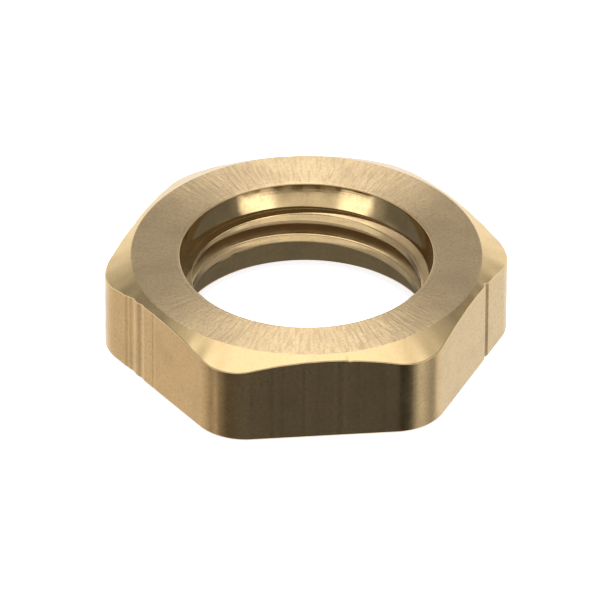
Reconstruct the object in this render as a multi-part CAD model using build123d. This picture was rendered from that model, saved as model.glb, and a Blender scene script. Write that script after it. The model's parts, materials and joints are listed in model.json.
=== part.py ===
from build123d import *
import math
import os

# Brass hexagon lock nut for G 1/4 parallel pipe thread, width across flats 19 mm.
# The origin is the centre of the bottom face, +Z runs up the thread axis and a flat faces -Y.

# --- Hexagon bar ---
ACROSS_FLATS = 19.0
HEIGHT = 5.0
CORNER_RADIUS = 2.9            # rounding of the drawn bar's six upright corners
BOTTOM_EDGE_BREAK = 0.12       # broken lower rim of the hexagon

# --- Turned top: a flat ring inside a shallow cone that trims the corners ---
TOP_RING_DIAMETER = 18.2
CONE_SLOPE = 28.7              # fall of the cone below the ring, degrees

# --- G 1/4 thread: 55 degree form, right-hand ---
THREADS_PER_INCH = 19
PITCH = 25.4 / THREADS_PER_INCH
MAJOR_DIAMETER = 13.157
PITCH_DIAMETER = 12.301
MINOR_DIAMETER = 11.89         # the largest that the standard allows
FLANK_ANGLE = 27.5             # half of the thread angle, degrees
ROOT_RADIUS = 0.137329 * PITCH
THREAD_PHASE = 175.0           # turns the thread about its axis, degrees

# --- Plain recesses at both ends of the thread, the top one slightly tapered ---
TOP_RECESS_FLOOR_DIAMETER = 12.8
TOP_RECESS_MOUTH_DIAMETER = 13.2
TOP_RECESS_DEPTH = 1.5
BOTTOM_RECESS_DIAMETER = 13.4
BOTTOM_RECESS_DEPTH = 1.25
MOUTH_BEVEL_WIDTH = 0.2        # shallow bevel round the top mouth
MOUTH_BEVEL_DEPTH = 0.06

# --- Thread cutter ---
CUTTER_OVERRUN = 0.75 * PITCH  # it runs this far past each end of the thread
CUTTER_CLEARANCE = 0.25        # its open side stands this far inside the bore wall


def hexagon_blank():
    """Upright hexagon bar with rounded corners and a lightly broken bottom rim."""
    outline = RegularPolygon(ACROSS_FLATS / 2, 6, major_radius=False)
    outline = fillet(outline.vertices(), CORNER_RADIUS)
    blank = extrude(outline, HEIGHT)
    bottom_rim = blank.faces().sort_by(Axis.Z)[0].edges()
    return chamfer(bottom_rim, BOTTOM_EDGE_BREAK)


def turned_envelope():
    """Solid of revolution that the blank is turned down to: a flat top inside a wide cone."""
    ring_radius = TOP_RING_DIAMETER / 2
    reach = ACROSS_FLATS
    drop = (reach - ring_radius) * math.tan(math.radians(CONE_SLOPE))
    profile = Polyline(
        (0, 0, -HEIGHT - drop),
        (reach, 0, -HEIGHT - drop),
        (reach, 0, HEIGHT - drop),
        (ring_radius, 0, HEIGHT),
        (0, 0, HEIGHT),
        close=True,
    )
    return revolve(make_face(profile), Axis.Z)


def tapping_bore():
    """Plain hole through the nut at the diameter of the thread crests."""
    return Pos(0, 0, HEIGHT / 2) * Cylinder(MINOR_DIAMETER / 2, HEIGHT)


def thread_groove():
    """Helical groove of the 55 degree form, its root rounded to the major diameter.

    It ends at the floor of the top recess, whose wall is narrower than the groove's root.
    """
    root_radius = MAJOR_DIAMETER / 2
    open_radius = MINOR_DIAMETER / 2 - CUTTER_CLEARANCE
    flank = math.radians(FLANK_ANGLE)
    open_half_width = PITCH / 4 + (PITCH_DIAMETER / 2 - open_radius) * math.tan(flank)
    # each flank runs tangent into the root arc
    tangent_radius = root_radius - ROOT_RADIUS * (1 - math.sin(flank))
    tangent_half_width = ROOT_RADIUS * math.cos(flank)

    lower = Line((open_radius, 0, -open_half_width), (tangent_radius, 0, -tangent_half_width))
    root = ThreePointArc(lower @ 1, (root_radius, 0, 0), (tangent_radius, 0, tangent_half_width))
    upper = Line(root @ 1, (open_radius, 0, open_half_width))
    profile = make_face([lower, root, upper, Line(upper @ 1, lower @ 0)])

    start = BOTTOM_RECESS_DEPTH - CUTTER_OVERRUN
    length = HEIGHT - TOP_RECESS_DEPTH - BOTTOM_RECESS_DEPTH + 2 * CUTTER_OVERRUN
    path = Helix(PITCH, length, PITCH_DIAMETER / 2)
    groove = sweep(profile, path=path, is_frenet=True)
    groove = Pos(0, 0, start) * Rot(0, 0, THREAD_PHASE) * groove
    recess_floor = Plane.XY.offset(HEIGHT - TOP_RECESS_DEPTH)
    return split(groove, bisect_by=recess_floor, keep=Keep.BOTTOM)


def top_recess():
    """Tapered plain bore above the thread, opening in a shallow bevel at its mouth."""
    floor_radius = TOP_RECESS_FLOOR_DIAMETER / 2
    mouth_radius = TOP_RECESS_MOUTH_DIAMETER / 2
    profile = Polyline(
        (0, 0, HEIGHT - TOP_RECESS_DEPTH),
        (floor_radius, 0, HEIGHT - TOP_RECESS_DEPTH),
        (mouth_radius, 0, HEIGHT - MOUTH_BEVEL_DEPTH),
        (mouth_radius + MOUTH_BEVEL_WIDTH, 0, HEIGHT),
        (0, 0, HEIGHT),
        close=True,
    )
    return revolve(make_face(profile), Axis.Z)


def bottom_recess():
    """Plain bore below the thread, wide enough to clear its root."""
    return Pos(0, 0, BOTTOM_RECESS_DEPTH / 2) * Cylinder(BOTTOM_RECESS_DIAMETER / 2, BOTTOM_RECESS_DEPTH)


def hex_nut():
    """The nut in the order it is made: turned, bored, tapped, then recessed at both ends."""
    turned = hexagon_blank() & turned_envelope()
    tapped = turned - tapping_bore() - thread_groove()
    return tapped - top_recess() - bottom_recess()


os.makedirs("parts", exist_ok=True)
export_step(hex_nut(), "parts/hex_nut.step")
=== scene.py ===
import json
import math

import bpy
import numpy as np
from mathutils import Matrix, Vector


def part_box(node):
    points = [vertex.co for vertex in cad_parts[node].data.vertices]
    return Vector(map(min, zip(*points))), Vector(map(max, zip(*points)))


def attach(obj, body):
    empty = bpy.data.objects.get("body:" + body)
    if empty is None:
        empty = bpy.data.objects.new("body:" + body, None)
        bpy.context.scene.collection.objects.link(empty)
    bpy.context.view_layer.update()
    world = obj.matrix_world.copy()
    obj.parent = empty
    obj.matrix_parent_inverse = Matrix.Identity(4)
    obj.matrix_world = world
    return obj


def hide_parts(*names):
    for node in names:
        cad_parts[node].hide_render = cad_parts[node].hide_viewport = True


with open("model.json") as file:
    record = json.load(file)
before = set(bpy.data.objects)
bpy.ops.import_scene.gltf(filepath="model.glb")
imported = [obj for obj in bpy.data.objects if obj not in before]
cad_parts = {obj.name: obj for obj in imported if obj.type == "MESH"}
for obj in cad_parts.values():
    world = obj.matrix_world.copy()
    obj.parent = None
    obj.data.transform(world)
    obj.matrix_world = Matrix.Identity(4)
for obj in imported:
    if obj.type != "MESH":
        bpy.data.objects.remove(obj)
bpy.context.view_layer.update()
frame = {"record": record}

# A brass lock nut. The frame fixes its main sizes, and this script rebuilds its skin as one fine mesh with
# broken edges, draw lines and tool marks. The section is worked out in millimetres and the mesh in metres.
MM = 0.001
NODE = "hex_nut"
FULL_TURN = 2 * math.pi

# --- Sizes taken from the frame, mm ---
MOUNTS = {mount["name"]: mount for mount in frame["record"]["mounts"]}
LOW, HIGH = (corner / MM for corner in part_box(NODE))
HEIGHT = HIGH.z - LOW.z
APOTHEM = (HIGH.y - LOW.y) / 2
CREST_RADIUS = MOUNTS["thread"]["dims"]["r_mm"]
BOTTOM_RECESS_RADIUS = MOUNTS["bottom_recess"]["dims"]["r_mm"]
BOTTOM_RECESS_DEPTH = MOUNTS["bottom_recess"]["dims"]["length_mm"]
THREAD_TOP = BOTTOM_RECESS_DEPTH + MOUNTS["thread"]["dims"]["length_mm"]
# a rounded corner falls short of the sharp hexagon's corner by (2 / sqrt 3 - 1) of its radius
CORNER_RADIUS = (APOTHEM * 2 / math.sqrt(3) - HIGH.x) / (2 / math.sqrt(3) - 1)

# --- Other sizes of the design, mm and degrees ---
RING_RADIUS = 9.1              # outer edge of the flat turned ring
CONE_SLOPE = 28.7
TOP_RECESS_FLOOR_RADIUS = 6.4  # the top recess widens upwards
TOP_RECESS_MOUTH_RADIUS = 6.6
MOUTH_BEVEL_WIDTH = 0.2
MOUTH_BEVEL_DEPTH = 0.06
BOTTOM_EDGE_BREAK = 0.12
PITCH = 25.4 / 19
THREAD_DEPTH = 0.6335
THREAD_PHASE = 175.0           # where round the axis the thread starts
THREAD_START = 0.75            # pitches below the bottom recess's ceiling there
FLANK_ANGLE = 27.5
ROOT_RADIUS = 0.137329 * PITCH

# --- Broken edges and tool marks, mm and degrees ---
EDGE = 0.05                    # reach of an ordinary broken edge
TROUGH_EDGE = 0.04
BAR_EDGE = 0.03
INNER_EDGE = 0.004             # of the sharp corner at the foot of a recess
CREST_EDGE_SOFTNESS = 0.06
TROUGH_MIDDLE = 0.12           # a shallow trough that the tool left outside the mouth
TROUGH_END = 0.25
TROUGH_DEPTH = 0.012
CHATTER_DEPTH = 0.002
CHATTER_WAVES = {"seed": 3, "waves": 60, "lowest": 60, "highest": 150}
BURR_DEPTH = 0.03              # how far the cone's edge on the flats wanders
BURR_WAVES = {"seed": 5, "waves": 14, "lowest": 5, "highest": 60}
BURR_MARK = (-82.2, 1.5, 0.05)

# --- Mesh density ---
COLUMNS = 720                  # round the axis
EDGE_STEPS = 3                 # facets across a broken edge
NEAR = 0.03                    # how close behind the end of a run its next row lies, mm
SNAP = 0.008                   # thread points this close to a flat ring join it, mm
SHARP_ANGLE = 50


# ---------------------------------------------------------------------------------------------------------
# Outline of the hexagon
# ---------------------------------------------------------------------------------------------------------

ANGLE = np.arange(COLUMNS) * 2 * math.pi / COLUMNS
SIXTH = math.pi / 3
CORNER_OFFSET = (APOTHEM - CORNER_RADIUS) / math.cos(SIXTH / 2)
FLAT_HALF = CORNER_OFFSET * math.sin(SIXTH / 2)

# Deep lines that the drawing die left: flat number, place along the flat, half width, depth.
# Flat 0 faces -Y, flat 1 is the next one anticlockwise, and places run anticlockwise from a flat's centre.
DEEP_LINES = (
    (1, 1.74, 0.24, 0.11),
    (5, -2.70, 0.16, 0.035),
    (5, -2.30, 0.46, 0.06),
    (5, -1.48, 0.34, 0.05),
    (5, -0.32, 0.10, 0.025),
    (2, 2.6, 0.3, 0.05),
    (3, -1.2, 0.22, 0.04),
    (4, 0.9, 0.4, 0.05),
)
FINE_LINES = 16                # shallow ones on each flat
FINE_LINES_SEED = 7
FINE_HALF_WIDTH = (0.10, 0.32)
FINE_DEPTH = (0.0005, 0.003)


def place_on_outline():
    """For each column: its flat's number, its angle off that flat's normal, its way along the outline,
    and the outline's radius."""
    turn = (ANGLE + math.pi / 2 + SIXTH / 2) % FULL_TURN
    flat = (turn // SIXTH).astype(int)
    lean = turn % SIXTH - SIXTH / 2
    to_corner = SIXTH / 2 - np.abs(lean)
    reach = CORNER_RADIUS**2 - (CORNER_OFFSET * np.sin(to_corner))**2
    on_corner = CORNER_OFFSET * np.cos(to_corner) + np.sqrt(np.maximum(reach, 0))
    along = APOTHEM * np.tan(lean)
    rounded = np.abs(along) > FLAT_HALF
    radius = np.where(rounded, on_corner, APOTHEM / np.cos(lean))
    sideways = radius * np.sin(np.abs(lean)) - FLAT_HALF
    arc = np.arcsin(np.clip(sideways / CORNER_RADIUS, 0, 1)) * CORNER_RADIUS
    along = np.where(rounded, np.sign(lean) * (FLAT_HALF + arc), along)
    return flat, lean, along, radius


def groove(place, centre, half_width, depth):
    """Depth of a smooth-sided groove."""
    across = np.clip(np.abs(place - centre) / half_width, 0, 1)
    return depth * np.cos(across * math.pi / 2)**2


def drawn_outline():
    """Radius of the bar's outline at each column, with its draw lines cut in."""
    flat, lean, along, radius = place_on_outline()
    depth = np.zeros(COLUMNS)
    for number, centre, half_width, deep in DEEP_LINES:
        depth += (flat == number) * groove(along, centre, half_width, deep)
    chance = np.random.default_rng(FINE_LINES_SEED)
    for number in range(6):
        for _ in range(FINE_LINES):
            centre = chance.uniform(-FLAT_HALF, FLAT_HALF)
            half_width = chance.uniform(*FINE_HALF_WIDTH)
            depth += (flat == number) * groove(along, centre, half_width, chance.uniform(*FINE_DEPTH))
    return radius - depth / np.cos(lean)


# ---------------------------------------------------------------------------------------------------------
# Section: rows of points from the top of the thread, up, out, down and in again to its bottom
# ---------------------------------------------------------------------------------------------------------

def wander(seed, waves, lowest, highest):
    """A smooth random curve round the axis, from 0 to 1: a sum of that many waves."""
    chance = np.random.default_rng(seed)
    curve = np.zeros(COLUMNS)
    for _ in range(waves):
        turns = chance.integers(lowest, highest)
        curve += np.cos(turns * ANGLE + chance.uniform(0, FULL_TURN))
    return (curve - curve.min()) / (curve.max() - curve.min())


def bump_at(degrees, half_width, size):
    """A smooth mark of that size at one angle round the axis."""
    off = (np.degrees(ANGLE) - degrees + 180) % 360 - 180
    return groove(off, 0, half_width, size)


def point(radius, height):
    """A section point for every column."""
    pair = [np.broadcast_to(radius, COLUMNS), np.broadcast_to(height, COLUMNS)]
    return np.stack(pair, axis=1).astype(float)


def towards(start, end, reach, share):
    """The point that lies reach along the way from start to end, or that share of the way if it is short."""
    way = end - start
    length = np.linalg.norm(way, axis=1, keepdims=True)
    return start + way * np.minimum(reach / np.maximum(length, 1e-9), share)


class Section:
    """Collects rows of points, and the finish of the band between each row and the next."""

    def __init__(self, start):
        self.rows = [start]
        self.finishes = []

    def row(self, points, finish):
        self.rows.append(points)
        self.finishes.append(finish)

    def run(self, end, finish, inside):
        """A straight band to end: a row close behind each end keeps the shading flat, with more between."""
        start = self.rows[-1]
        first = towards(start, end, NEAR, 0.25)
        last = towards(end, start, NEAR, 0.25)
        for step in range(inside + 2):
            self.row(first + (last - first) * step / (inside + 1), finish)
        self.row(end, finish)

    def edge(self, before, corner, after, finish):
        """A broken edge: a short curve from before to after that rounds the corner."""
        for step in range(1, EDGE_STEPS + 1):
            t = step / EDGE_STEPS
            self.row((1 - t)**2 * before + 2 * t * (1 - t) * corner + t**2 * after, finish)

    def trace(self, corners):
        """Runs through corners, each (point, edge reach, finish of the run to it, rows inside that run)."""
        for place, (corner, reach, finish, inside) in enumerate(corners[:-1]):
            start = self.rows[-1]
            ahead, ahead_reach = corners[place + 1][:2]
            before = towards(corner, start, reach, 0.5)
            after = towards(corner, ahead, reach, 0.45 if ahead_reach else 1.0)
            if place:
                self.run(before, finish, inside)
            self.edge(before, corner, after, finish)
        self.row(corners[-1][0], corners[-1][2])


# ---------------------------------------------------------------------------------------------------------
# Thread
# ---------------------------------------------------------------------------------------------------------

# Height of a groove's centre at each column: it climbs by one pitch in a turn
CLIMB = PITCH * (ANGLE - math.radians(THREAD_PHASE)) / FULL_TURN
THREAD_LEAD = BOTTOM_RECESS_DEPTH - THREAD_START * PITCH + CLIMB

# Rows across half a pitch, close together where the form bends: shares of the rounded root's half height,
# shares of the flank, and crest softnesses from the crest's edge
ROOT_ROWS = (0, 0.35, 0.65, 0.88, 1.08)
FLANK_ROWS = (0.4, 0.7)
CREST_ROWS = (-0.8, -0.35, -0.1, 0.15, 0.45, 1.0)


def thread_radius(offset):
    """Radius of the thread's surface at a height above the nearest groove's centre."""
    offset = np.abs((offset + PITCH / 2) % PITCH - PITCH / 2)
    flank = math.radians(FLANK_ANGLE)
    root = CREST_RADIUS + THREAD_DEPTH
    tangent_height = ROOT_RADIUS * math.cos(flank)
    tangent_radius = root - ROOT_RADIUS * (1 - math.sin(flank))
    sloping = tangent_radius - (offset - tangent_height) / math.tan(flank)
    round_root = root - ROOT_RADIUS + np.sqrt(np.maximum(ROOT_RADIUS**2 - offset**2, 0))
    surface = np.where(offset < tangent_height, round_root, sloping)
    over = surface - CREST_RADIUS
    return CREST_RADIUS + (over + np.sqrt(over**2 + CREST_EDGE_SOFTNESS**2 / 4)) / 2


def thread_rows():
    """Heights above a groove's centre at which one pitch has its rows."""
    flank = math.radians(FLANK_ANGLE)
    tangent = ROOT_RADIUS * math.cos(flank)
    crest_edge = tangent + (THREAD_DEPTH - ROOT_RADIUS * (1 - math.sin(flank))) * math.tan(flank)
    half = [tangent * share for share in ROOT_ROWS]
    half += [tangent + (crest_edge - tangent) * share for share in FLANK_ROWS]
    half += [crest_edge + CREST_EDGE_SOFTNESS * share for share in CREST_ROWS]
    return half + [PITCH / 2] + [PITCH - height for height in reversed(half[1:])]


def thread_points(heights, low_height, high_height, low_ids, high_ids, first_id):
    """Each row's point ids, and the new points: outside the two flat rings it takes the ring's own points."""
    ids = np.zeros((len(heights), COLUMNS), int)
    points = []
    for row, height in enumerate(heights):
        level = THREAD_LEAD + height
        radius = thread_radius(np.full(COLUMNS, height))
        for column in range(COLUMNS):
            if level[column] <= low_height + SNAP:
                ids[row, column] = low_ids[column]
            elif level[column] >= high_height - SNAP:
                ids[row, column] = high_ids[column]
            else:
                ids[row, column] = first_id + len(points)
                points.append((radius[column], level[column], column))
    return ids, points


def thread_band(low_height, high_height, low_ids, high_ids, first_id):
    """Points and faces of the thread between two flat rings, whose own points already have ids.
    Rows climb with the thread, so one turn on, a row meets the row one pitch up."""
    within = thread_rows()
    per_turn = len(within)
    turns = range(math.floor((low_height - THREAD_LEAD[-1]) / PITCH) - 1,
                  math.ceil((high_height - THREAD_LEAD[0]) / PITCH) + 2)
    heights = np.array([turn * PITCH + height for turn in turns for height in within])
    ids, points = thread_points(heights, low_height, high_height, low_ids, high_ids, first_id)
    faces = []
    for row in range(len(heights) - per_turn - 1):
        for column in range(COLUMNS):
            ahead = (column + 1) % COLUMNS
            ahead_row = row if ahead else row + per_turn
            near_side = (ids[row, column], ids[row + 1, column])
            far_side = (ids[ahead_row + 1, ahead], ids[ahead_row, ahead])
            distinct = list(dict.fromkeys(near_side + far_side))
            if len(distinct) > 2:
                faces.append(distinct)
    return points, faces


# ---------------------------------------------------------------------------------------------------------
# The whole skin
# ---------------------------------------------------------------------------------------------------------

# The mesh's material slots, in the order in which the materials are made at the end
FACE, CONE, FLATS, WALL, THREAD = range(5)


def nut_section():
    """The closed section of the nut outside its thread."""
    outline = drawn_outline()
    ring_height = HEIGHT - CHATTER_DEPTH * wander(**CHATTER_WAVES)
    burr = BURR_DEPTH * wander(**BURR_WAVES) + bump_at(*BURR_MARK)
    cone_fall = (outline - RING_RADIUS) * math.tan(math.radians(CONE_SLOPE))
    mouth = TOP_RECESS_MOUTH_RADIUS + MOUTH_BEVEL_WIDTH

    def on_thread(height):
        return point(thread_radius(height - THREAD_LEAD), height)

    section = Section(on_thread(THREAD_TOP - EDGE))
    section.trace((
        (on_thread(THREAD_TOP), EDGE, THREAD, 0),
        (point(TOP_RECESS_FLOOR_RADIUS, THREAD_TOP), INNER_EDGE, WALL, 0),
        (point(TOP_RECESS_MOUTH_RADIUS, HEIGHT - MOUTH_BEVEL_DEPTH), EDGE, WALL, 2),
        (point(mouth, ring_height), EDGE, FACE, 0),
        (point(mouth + TROUGH_MIDDLE, ring_height - TROUGH_DEPTH), TROUGH_EDGE, FACE, 0),
        (point(mouth + TROUGH_END, ring_height), TROUGH_EDGE, FACE, 0),
        (point(RING_RADIUS, ring_height), EDGE, FACE, 3),
        (point(outline, HEIGHT - cone_fall - burr), EDGE, CONE, 2),
        (point(outline, BOTTOM_EDGE_BREAK), BAR_EDGE, FLATS, 3),
        (point(outline - BOTTOM_EDGE_BREAK, 0), BAR_EDGE, FLATS, 0),
        (point(BOTTOM_RECESS_RADIUS, 0), EDGE, FACE, 2),
        (point(BOTTOM_RECESS_RADIUS, BOTTOM_RECESS_DEPTH), INNER_EDGE, WALL, 2),
        (on_thread(BOTTOM_RECESS_DEPTH), EDGE, WALL, 0),
        (on_thread(BOTTOM_RECESS_DEPTH + EDGE), 0, THREAD, 0),
    ))
    return section


def section_faces(section):
    """Quads between neighbouring rows, and each one's finish."""
    faces, finishes = [], []
    for band, finish in enumerate(section.finishes):
        here, there = band * COLUMNS, (band + 1) * COLUMNS
        for column in range(COLUMNS):
            ahead = (column + 1) % COLUMNS
            faces.append((here + column, there + column, there + ahead, here + ahead))
            finishes.append(finish)
    return faces, finishes


def nut_mesh():
    """One closed mesh of the nut, in metres, with each face set to its finish's material slot index."""
    section = nut_section()
    flat_rows = np.concatenate(section.rows)
    columns = np.tile(np.arange(COLUMNS), len(section.rows))
    faces, finishes = section_faces(section)
    last_row = (len(section.rows) - 1) * COLUMNS
    points, thread_faces = thread_band(
        section.rows[-1][0, 1], section.rows[0][0, 1],
        range(last_row, last_row + COLUMNS), range(COLUMNS), len(flat_rows))
    points = np.array(points)
    radius = np.concatenate([flat_rows[:, 0], points[:, 0]])
    height = np.concatenate([flat_rows[:, 1], points[:, 1]])
    angle = ANGLE[np.concatenate([columns, points[:, 2].astype(int)])]
    places = np.stack([radius * np.cos(angle), radius * np.sin(angle), height], axis=1) * MM

    mesh = bpy.data.meshes.new("brass_nut")
    mesh.from_pydata([tuple(p) for p in places], [], [tuple(map(int, f)) for f in faces + thread_faces])
    mesh.polygons.foreach_set("material_index", finishes + [THREAD] * len(thread_faces))
    mesh.validate()
    mesh.shade_smooth()
    mesh.set_sharp_from_angle(angle=math.radians(SHARP_ANGLE))
    return mesh


# ---------------------------------------------------------------------------------------------------------
# Node helpers
# ---------------------------------------------------------------------------------------------------------

def node(tree, kind, inputs=None, **settings):
    """Adds a node, with its settings and its inputs: a socket is linked and anything else is a value."""
    made = tree.nodes.new(kind)
    for name, value in settings.items():
        setattr(made, name, value)
    for name, value in (inputs or {}).items():
        set_input(tree, made.inputs[name], value)
    return made


def set_input(tree, socket, value):
    if isinstance(value, bpy.types.NodeSocket):
        tree.links.new(value, socket)
    else:
        socket.default_value = value


def maths(tree, operation, *values):
    return node(tree, "ShaderNodeMath", dict(enumerate(values)), operation=operation).outputs[0]


def vector_maths(tree, operation, *values):
    return node(tree, "ShaderNodeVectorMath", dict(enumerate(values)), operation=operation)


def dot(tree, first, second):
    return vector_maths(tree, "DOT_PRODUCT", first, second).outputs["Value"]


def fit_range(tree, value, low, high, to_low, to_high):
    """Follows value smoothly from to_low at low to to_high at high."""
    inputs = {"Value": value, "From Min": low, "From Max": high, "To Min": to_low, "To Max": to_high}
    return node(tree, "ShaderNodeMapRange", inputs, interpolation_type="SMOOTHSTEP").outputs[0]


def mix_colour(tree, factor, first, second, blend="MIX"):
    made = node(tree, "ShaderNodeMix", data_type="RGBA", blend_type=blend)
    for name, value in {"Factor": factor, "A": first, "B": second}.items():
        set_input(tree, next(s for s in made.inputs if s.name == name and s.enabled), value)
    return next(s for s in made.outputs if s.enabled)


def ramp(tree, value, stops):
    """Grey level that follows value through stops, each (value, level), joined by straight lines."""
    low, high = stops[0][0], stops[-1][0]
    share = maths(tree, "DIVIDE", maths(tree, "SUBTRACT", value, low), high - low)
    made = node(tree, "ShaderNodeValToRGB", {0: share})
    elements = made.color_ramp.elements
    for place, (at, level) in enumerate(stops):
        element = elements[place] if place < 2 else elements.new((at - low) / (high - low))
        element.position = (at - low) / (high - low)
        element.color = grey(level)
    return made.outputs[0]


def grey(level):
    return (level, level, level, 1)


def new_material(name):
    material = bpy.data.materials.new(name)
    material.use_nodes = True
    tree = material.node_tree
    tree.nodes.clear()
    return material, tree


def finish_tree(tree, shader, kind="ShaderNodeOutputMaterial"):
    tree.links.new(shader.outputs[0], node(tree, kind).inputs[0])


def place_node(tree):
    """Position on the nut, in millimetres."""
    position = node(tree, "ShaderNodeTexCoord").outputs["Object"]
    return node(tree, "ShaderNodeVectorMath", {0: position, "Scale": 1 / MM}, operation="SCALE").outputs[0]


def outward(tree, place):
    """The level part of a place, which points straight away from the axis."""
    parts = node(tree, "ShaderNodeSeparateXYZ", {0: place})
    return node(tree, "ShaderNodeCombineXYZ", {0: parts.outputs[0], 1: parts.outputs[1]}).outputs[0]


def length(tree, vector):
    return vector_maths(tree, "LENGTH", vector).outputs["Value"]


def noise(tree, place, scale, detail=3.0, roughness=0.5):
    """Smooth random level at a place, with that many features per unit."""
    inputs = {"Vector": place, "Scale": scale, "Detail": detail, "Roughness": roughness}
    return node(tree, "ShaderNodeTexNoise", inputs, noise_dimensions="3D").outputs[0]


def noise_line(tree, value, scale):
    """Smooth random level along one number."""
    inputs = {"W": value, "Scale": scale, "Detail": 2.0}
    return node(tree, "ShaderNodeTexNoise", inputs, noise_dimensions="1D").outputs[0]


def stretched(tree, place, x, y, z):
    return vector_maths(tree, "MULTIPLY", place, (x, y, z)).outputs[0]


# ---------------------------------------------------------------------------------------------------------
# Brass
# ---------------------------------------------------------------------------------------------------------

BRASS = (0.90, 0.68, 0.395, 1)                         # turned ring
BRASS_TONED = (0.66, 0.49, 0.29, 1)
WARM_BRASS = (0.90, 0.665, 0.345, 1)                   # cone and bore
WARM_TONED = (0.68, 0.49, 0.255, 1)
FLAT_BRASS = (0.90, 0.66, 0.345, 1)
FLAT_TONED = (0.66, 0.47, 0.255, 1)
FLAT_WARM = (1.0, 0.88, 0.74, 1)                       # warmer tint multiplied into the flat that faces WARM_SIDE
WARM_SIDE = (-math.cos(SIXTH / 2), -math.sin(SIXTH / 2), 0)
WARM_REACH = (APOTHEM - 1.5, APOTHEM - 0.3)            # the tint fades in between these distances, mm
WARM_STRENGTH = 0.85
GROOVE_SHADE = (0.80, 0.58, 0.31, 1)                        # painted shade in the thread's groove
GROOVE_SHADE_FADE = 0.12                                    # mm
GROOVE_ROUGHNESS = 0.2
SCORED = (0.68, 0.46, 0.27, 1)
NO_GROOVE = 20.0                                       # beyond the nut, so the groove gets no painted shade and no extra roughness
GROOVE_START = CREST_RADIUS + 0.08

# Noise levels between which each kind of mark comes up
PATCH_LEVELS = (0.42, 0.72)
SPECKLE_LEVELS = (0.42, 0.75)
STREAK_LEVELS = (0.46, 0.66)
SCORE_LEVELS = (0.45, 0.65)
DRIFT_LEVELS = (0.3, 0.7)

SPOKE_CHANGE = 0.02            # how fast the radial marks change along the radius
CHATTER_SIDES = (0.6, 0.97)    # chatter bumps and dark colour streaks are strong where the direction's share along Y passes these: the front and back, where the highlight falls, so there the streaks are painted shade
QUIET_CHATTER = 0.3
TURNED_BUMP = 0.0012           # mm for one unit of height
DRAWN_BUMP = 0.0012
BORED_BUMP = 0.0005


def metal(tree, colour, roughness, height, tangent, anisotropic, bump_height):
    """The shader: height is in units of bump_height, in millimetres."""
    bump = node(tree, "ShaderNodeBump", {"Height": height, "Distance": bump_height * MM, "Strength": 1.0})
    finish_tree(tree, node(tree, "ShaderNodeBsdfPrincipled", {
        "Base Color": colour, "Roughness": roughness, "Metallic": 1.0, "Normal": bump.outputs[0],
        "Tangent": tangent, "Anisotropic": anisotropic}))


def toned(tree, place, clean, dark, scale, patchiness, speckling):
    """Clean metal with soft patches of darker tone and a fine speckle."""
    patches = fit_range(tree, noise(tree, place, scale, 4.0), *PATCH_LEVELS, 0.0, patchiness)
    speckle = fit_range(tree, noise(tree, place, 6.0, 3.0, 0.7), *SPECKLE_LEVELS, 0.0, speckling)
    return mix_colour(tree, speckle, mix_colour(tree, patches, clean, dark), dark)


def drifting(tree, place, scale, low, high):
    """Roughness that drifts between low and high over the surface."""
    return fit_range(tree, noise(tree, place, scale), *DRIFT_LEVELS, low, high)


def turned_metal(name, clean, dark, roughness, anisotropic, chatter_height, grain_height,
                 patchiness, speckling, painted_streaks):
    """A faced surface: fine rings round the axis, radial chatter bumps and dark radial colour streaks made
    strongest at the front and back, where the highlight falls, so the streaks are painted shade there, and
    gloss that spreads across the rings."""
    material, tree = new_material(name)
    place = place_node(tree)
    outwards = outward(tree, place)
    radius = length(tree, outwards)
    spoke = vector_maths(tree, "NORMALIZE", outwards).outputs[0]
    facing = maths(tree, "ABSOLUTE", dot(tree, spoke, (0, 1, 0)))
    strength = fit_range(tree, facing, *CHATTER_SIDES, QUIET_CHATTER, 1.0)
    rise = node(tree, "ShaderNodeCombineXYZ", {2: maths(tree, "MULTIPLY", radius, SPOKE_CHANGE)}).outputs[0]
    spoke = vector_maths(tree, "ADD", spoke, rise).outputs[0]

    colour = toned(tree, place, clean, dark, 0.45, patchiness, speckling)
    # painted shade: dark radial streaks in the colour, strongest at the front and back, where the highlight
    # falls
    painted_streak = fit_range(tree, noise(tree, spoke, 52.0, 2.0), *STREAK_LEVELS, 0.0, painted_streaks)
    colour = mix_colour(tree, maths(tree, "MULTIPLY", painted_streak, strength), colour, dark)
    rings = noise_line(tree, radius, 14.0)
    chatter = maths(tree, "MULTIPLY", noise(tree, spoke, 45.0, 1.0), strength)
    grain = noise(tree, place, 7.0, 3.0, 0.7)
    height = maths(tree, "MULTIPLY_ADD", chatter, chatter_height, rings)
    height = maths(tree, "MULTIPLY_ADD", grain, grain_height, height)
    rough = drifting(tree, place, 1.6, roughness - 0.03, roughness + 0.03)
    metal(tree, colour, rough, height, outwards, anisotropic, TURNED_BUMP)
    return material


def drawn_metal():
    """The drawn flats: lines along the bar, mottled tone, and gloss that spreads sideways."""
    material, tree = new_material("drawn_flats")
    place = place_node(tree)
    colour = toned(tree, place, FLAT_BRASS, FLAT_TONED, 0.55, 0.4, 0.7)
    warm = fit_range(tree, dot(tree, place, WARM_SIDE), *WARM_REACH, 0, WARM_STRENGTH)
    colour = mix_colour(tree, warm, colour, FLAT_WARM, "MULTIPLY")
    lines = noise(tree, stretched(tree, place, 1, 1, 0.03), 11.0, 3.0, 0.6)
    broad = noise(tree, stretched(tree, place, 1, 1, 0.05), 2.4, 2.0)
    grain = noise(tree, stretched(tree, place, 1, 1, 0.5), 7.0, 3.0, 0.6)
    height = maths(tree, "MULTIPLY_ADD", broad, 1.5, lines)
    height = maths(tree, "MULTIPLY_ADD", grain, 0.7, height)
    rough = drifting(tree, place, 1.3, 0.14, 0.22)
    normal = node(tree, "ShaderNodeNewGeometry").outputs["Normal"]
    sideways = vector_maths(tree, "CROSS_PRODUCT", (0, 0, 1), normal).outputs[0]
    metal(tree, colour, rough, height, sideways, 0.5, DRAWN_BUMP)
    return material


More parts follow.
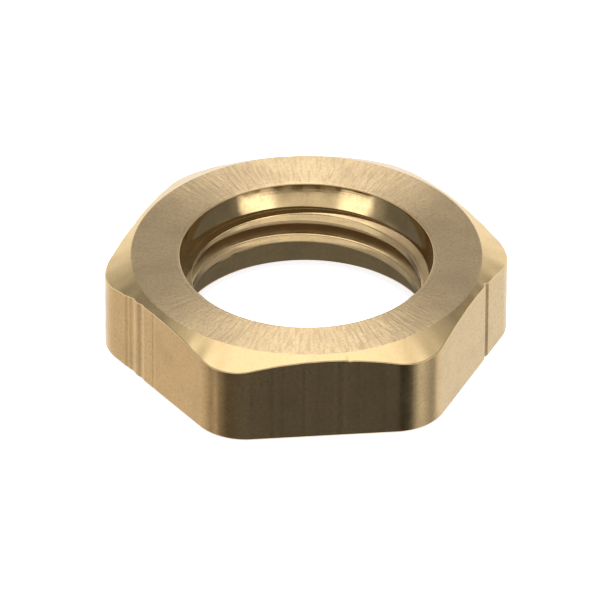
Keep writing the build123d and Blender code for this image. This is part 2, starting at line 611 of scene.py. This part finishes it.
def bored_metal(name, roughness, lines_per_mm, groove_start, scoring):
    """The bore: lines and scores round the axis, and in the groove beyond groove_start, painted shade and a
    rougher finish.
    """
    material, tree = new_material(name)
    place = place_node(tree)
    radius = length(tree, outward(tree, place))
    colour = toned(tree, place, WARM_BRASS, WARM_TONED, 0.7, 0.5, 0.5)
    # painted shade: the colour darkens in the thread's groove, where shade falls, and the roughness rises
    # there
    groove_shade_and_roughness = fit_range(tree, radius, groove_start, groove_start + GROOVE_SHADE_FADE, 0, 1)
    colour = mix_colour(tree, groove_shade_and_roughness, colour, GROOVE_SHADE)
    lines = noise(tree, stretched(tree, place, 0.04, 0.04, 1), lines_per_mm, 2.0)
    scores = noise(tree, stretched(tree, place, 0.12, 0.12, 1), lines_per_mm / 2, 3.0)
    colour = mix_colour(tree, fit_range(tree, scores, *SCORE_LEVELS, 0, scoring), colour, SCORED)
    rough = drifting(tree, place, 1.5, roughness - 0.03, roughness + 0.04)
    rough = maths(tree, "MULTIPLY_ADD", groove_shade_and_roughness, GROOVE_ROUGHNESS, rough)
    metal(tree, colour, rough, lines, (0, 0, 1), 0.3, BORED_BUMP)
    return material


# ---------------------------------------------------------------------------------------------------------
# Camera
# ---------------------------------------------------------------------------------------------------------

CAMERA_AZIMUTH = math.radians(-5.86)
CAMERA_ELEVATION = math.radians(34.60)
CAMERA_ROLL = math.radians(0.315)
CAMERA_DISTANCE = 33.9 * 2 * APOTHEM * MM
LENS = 740.0
SENSOR_WIDTH = 36
CLIP = (0.01, 10)              # m
AIM_RIGHT = -0.314 * MM        # where the camera aims, off the centre of the nut's foot
AIM_UP = 1.715 * MM

AWAY = Vector((-math.sin(CAMERA_AZIMUTH), math.cos(CAMERA_AZIMUTH), 0))
RIGHT = Vector((math.cos(CAMERA_AZIMUTH), math.sin(CAMERA_AZIMUTH), 0))


def make_camera():
    data = bpy.data.cameras.new("camera")
    data.lens = LENS
    data.sensor_width = SENSOR_WIDTH
    data.clip_start, data.clip_end = CLIP
    camera = bpy.data.objects.new("camera", data)
    bpy.context.scene.collection.objects.link(camera)
    back = -AWAY * math.cos(CAMERA_ELEVATION) + Vector((0, 0, math.sin(CAMERA_ELEVATION)))
    turn = (-back).to_track_quat("-Z", "Y").to_matrix() @ Matrix.Rotation(CAMERA_ROLL, 3, "Z")
    camera.rotation_mode = "QUATERNION"
    camera.rotation_quaternion = turn.to_quaternion()
    aim = turn @ Vector((AIM_RIGHT, AIM_UP, 0))
    camera.location = aim + back * CAMERA_DISTANCE
    bpy.context.scene.camera = camera


# ---------------------------------------------------------------------------------------------------------
# Studio
# ---------------------------------------------------------------------------------------------------------

# Brightness of the studio by direction. Above the horizon it goes by elevation, in degrees. Below it, where
# the upright flats look, it goes by azimuth, in degrees from straight beyond the nut, positive to the right.
ABOVE = (
    (-10, 1.0), (8, 1.05), (14, 0.93), (21, 0.6), (29, 0.33), (36, 0.25), (45, 0.29), (52, 0.5), (56, 0.68),
    (60, 0.9), (64, 1.15), (70, 1.28), (90, 1.28),
)
BELOW = (
    (-180, 0.112), (-160, 0.1), (-141, 0.09), (-131, 0.18), (-123, 0.22), (-118, 0.46), (-112, 0.46),
    (-107, 0.27), (-103, 0.27), (-97, 0.42), (-82, 0.6), (-60, 0.68), (-20, 1.0), (20, 1.0), (42, 0.78),
    (68, 0.82), (76, 0.6), (84, 0.33), (95, 0.33), (106, 0.5), (114, 0.6), (122, 0.58), (128, 0.4),
    (138, 0.12), (143, 0.045), (163, 0.03), (168, 0.11), (180, 0.112),
)
HORIZON = (-10, 0)             # BELOW gives way to ABOVE between these elevations

# A tall soft light beyond the nut, which the turned rings spread over the front and back of the top face.
# It fades between these azimuths, and these elevations.
WINDOW_LEVEL = 2.6
WINDOW_HALF_WIDTH = (11, 40)
WINDOW_FOOT = (43, 51)

# What brass seen in brass reflects, by elevation: little light reaches the gaps in the bore from the sides
INNER = ((-90, 0.12), (52, 0.12), (64, 0.34), (90, 0.34))

# Light that falls through the bore, seen only in its walls: level by degrees round the axis from the front,
# positive to the left, near the front rim, and level by radius for the rest of the lit floor
RIM_GLOW = (
    (-180, 0.12), (-140, 0.12), (-112, 0.14), (-96, 0.2), (-88, 1.4), (-80, 1.65), (-48, 1.65), (-40, 0.8),
    (0, 0.74), (40, 0.8), (48, 1.65), (84, 1.65), (94, 0.35), (112, 0.2), (140, 0.12), (180, 0.12),
)
FLOOR_GLOW = ((0, 0.8), (3.6, 0.8), (4.0, 0.4), (5.2, 0.35), (5.8, 0.14))
INNER_GLOW = 0.13              # level in light that has been reflected twice
RIM_START = (3.3, 3.7)         # the rim's levels come in between these radii, mm
RIM_END = (1.6, 3.2)           # and go out between these distances beyond the axis, mm
GLOW_SEGMENTS = 64
GLOW_RADII = (6.65, 3.4, 0.1)
GLOW_LIFT = 0.01
CURTAIN_RADIUS = 5.9
CURTAIN_TOP = ((0, 0.38), (38, 0.38), (50, 0.58), (84, 0.58), (98, 1.2))   # mm, by degrees from the front

FLOOR_HALF = 5.0               # m
FLOOR_COLOUR = 0.9
FLOOR_EMISSION = 0.8
FLOOR_LIGHT_ENERGY = 4.2
FLOOR_LIGHT_SPREAD = math.radians(25)


def twice_reflected(tree, own_count=0):
    """One for light that has met two surfaces on its way to the eye, otherwise zero. Ray depth also counts
    the sky itself, for which own_count is one."""
    depth = node(tree, "ShaderNodeLightPath").outputs["Ray Depth"]
    return maths(tree, "GREATER_THAN", depth, own_count + 1.5)


def make_world():
    """The studio seen in the brass: a wide light overhead, a dim gap below it, and pale walls that are dark
    on the camera's side."""
    world = bpy.data.worlds.new("studio")
    bpy.context.scene.world = world
    world.cycles.sampling_method = "NONE"      # keeps the count of reflections exact
    world.use_nodes = True
    tree = world.node_tree
    tree.nodes.clear()
    direction = node(tree, "ShaderNodeTexCoord").outputs["Generated"]
    up = node(tree, "ShaderNodeSeparateXYZ", {0: direction}).outputs[2]
    elevation = maths(tree, "DEGREES", maths(tree, "ARCSINE", up))
    across = dot(tree, direction, RIGHT)
    azimuth = maths(tree, "DEGREES", maths(tree, "ARCTAN2", across, dot(tree, direction, AWAY)))
    over = fit_range(tree, elevation, *HORIZON, 0, 1)
    light = mix_colour(tree, over, ramp(tree, azimuth, BELOW), ramp(tree, elevation, ABOVE))
    beyond = fit_range(tree, maths(tree, "ABSOLUTE", azimuth), *WINDOW_HALF_WIDTH, 1, 0)
    high = fit_range(tree, elevation, *WINDOW_FOOT, 0, 1)
    light = mix_colour(tree, maths(tree, "MULTIPLY", beyond, high), light, grey(WINDOW_LEVEL))
    light = mix_colour(tree, twice_reflected(tree, 1), light, ramp(tree, elevation, INNER))
    finish_tree(tree, node(tree, "ShaderNodeBackground", {"Color": light}), "ShaderNodeOutputWorld")


def add_object(name, places, faces, material):
    mesh = bpy.data.meshes.new(name)
    mesh.from_pydata(places, [], faces)
    mesh.materials.append(material)
    made = bpy.data.objects.new(name, mesh)
    bpy.context.scene.collection.objects.link(made)
    return made


def make_floor():
    """Plain pale floor. The brass doesn't mirror it: what it would see there is the studio's lower half."""
    material, tree = new_material("floor")
    paint = node(tree, "ShaderNodeBsdfDiffuse", {"Color": grey(FLOOR_COLOUR)})
    glow = node(tree, "ShaderNodeEmission", {"Color": grey(1), "Strength": FLOOR_EMISSION})
    finish_tree(tree, node(tree, "ShaderNodeAddShader", {0: paint.outputs[0], 1: glow.outputs[0]}))
    corners = [(-FLOOR_HALF, -FLOOR_HALF, 0), (FLOOR_HALF, -FLOOR_HALF, 0),
               (FLOOR_HALF, FLOOR_HALF, 0), (-FLOOR_HALF, FLOOR_HALF, 0)]
    floor = add_object("floor", corners, [(0, 1, 2, 3)], material)
    floor.visible_glossy = False


def hole_glow_material():
    """Light of the floor under the bore: one pattern near the front rim and another for the rest."""
    material, tree = new_material("hole_glow")
    place = place_node(tree)
    radius = length(tree, outward(tree, place))
    across = dot(tree, place, -RIGHT)
    away = dot(tree, place, AWAY)
    from_front = maths(tree, "ARCTAN2", across, maths(tree, "MULTIPLY", away, -1))
    rim = ramp(tree, maths(tree, "DEGREES", from_front), RIM_GLOW)
    front = fit_range(tree, away, *RIM_END, 1, 0)
    near_rim = maths(tree, "MULTIPLY", front, fit_range(tree, radius, *RIM_START, 0, 1))
    light = mix_colour(tree, near_rim, ramp(tree, radius, FLOOR_GLOW), rim)
    light = mix_colour(tree, twice_reflected(tree), light, grey(INNER_GLOW))
    finish_tree(tree, node(tree, "ShaderNodeEmission", {"Color": light}))
    material.cycles.emission_sampling = "NONE"
    return material


def make_hole_glow():
    """A disc under the bore and a low curtain round it, in the bottom recess. Only the brass sees them."""
    turns = np.arange(GLOW_SEGMENTS) * 2 * math.pi / GLOW_SEGMENTS
    from_front = np.abs((turns - CAMERA_AZIMUTH) % FULL_TURN - math.pi * 1.5)
    from_front = np.degrees(np.minimum(from_front, FULL_TURN - from_front))
    lifts = np.full(GLOW_SEGMENTS, GLOW_LIFT)
    tops = np.interp(from_front, *zip(*CURTAIN_TOP))
    rings = [(radius, lifts) for radius in GLOW_RADII] + [(CURTAIN_RADIUS, lifts), (CURTAIN_RADIUS, tops)]
    places = [(radius * MM * math.cos(turn), radius * MM * math.sin(turn), height * MM)
              for radius, heights in rings for turn, height in zip(turns, heights)]
    faces = []
    for ring in (0, 1, 3):
        here, there = ring * GLOW_SEGMENTS, (ring + 1) * GLOW_SEGMENTS
        for segment in range(GLOW_SEGMENTS):
            ahead = (segment + 1) % GLOW_SEGMENTS
            faces.append((here + segment, here + ahead, there + ahead, there + segment))
    dish = add_object("hole_glow", places, faces, hole_glow_material())
    dish.visible_camera = False
    dish.visible_diffuse = False
    dish.visible_shadow = False


def make_floor_light():
    """Soft light from above that whitens the floor and leaves the brass alone."""
    data = bpy.data.lights.new("floor_light", "SUN")
    data.energy = FLOOR_LIGHT_ENERGY
    data.angle = FLOOR_LIGHT_SPREAD
    light = bpy.data.objects.new("floor_light", data)
    light.visible_glossy = False
    bpy.context.scene.collection.objects.link(light)


# ---------------------------------------------------------------------------------------------------------
# Build
# ---------------------------------------------------------------------------------------------------------

make_camera()
make_world()
make_floor()
make_hole_glow()
make_floor_light()

nut = bpy.data.objects.new("brass_nut", nut_mesh())
bpy.context.scene.collection.objects.link(nut)
for finish in (
    turned_metal("turned_face", BRASS, BRASS_TONED, roughness=0.40, anisotropic=0.97, chatter_height=14.0,
                 grain_height=5.0, patchiness=0.5, speckling=0.9, painted_streaks=0.7),
    turned_metal("turned_cone", WARM_BRASS, WARM_TONED, roughness=0.17, anisotropic=0.5, chatter_height=0.5,
                 grain_height=0.8, patchiness=0.15, speckling=0.25, painted_streaks=0.0),
    drawn_metal(),
    bored_metal("bored_wall", roughness=0.09, lines_per_mm=8.0, groove_start=NO_GROOVE, scoring=0.15),
    bored_metal("cut_thread", roughness=0.12, lines_per_mm=12.0, groove_start=GROOVE_START, scoring=0.55),
):
    nut.data.materials.append(finish)
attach(nut, "root")
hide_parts(NODE)

bpy.context.scene.view_settings.view_transform = "Standard"
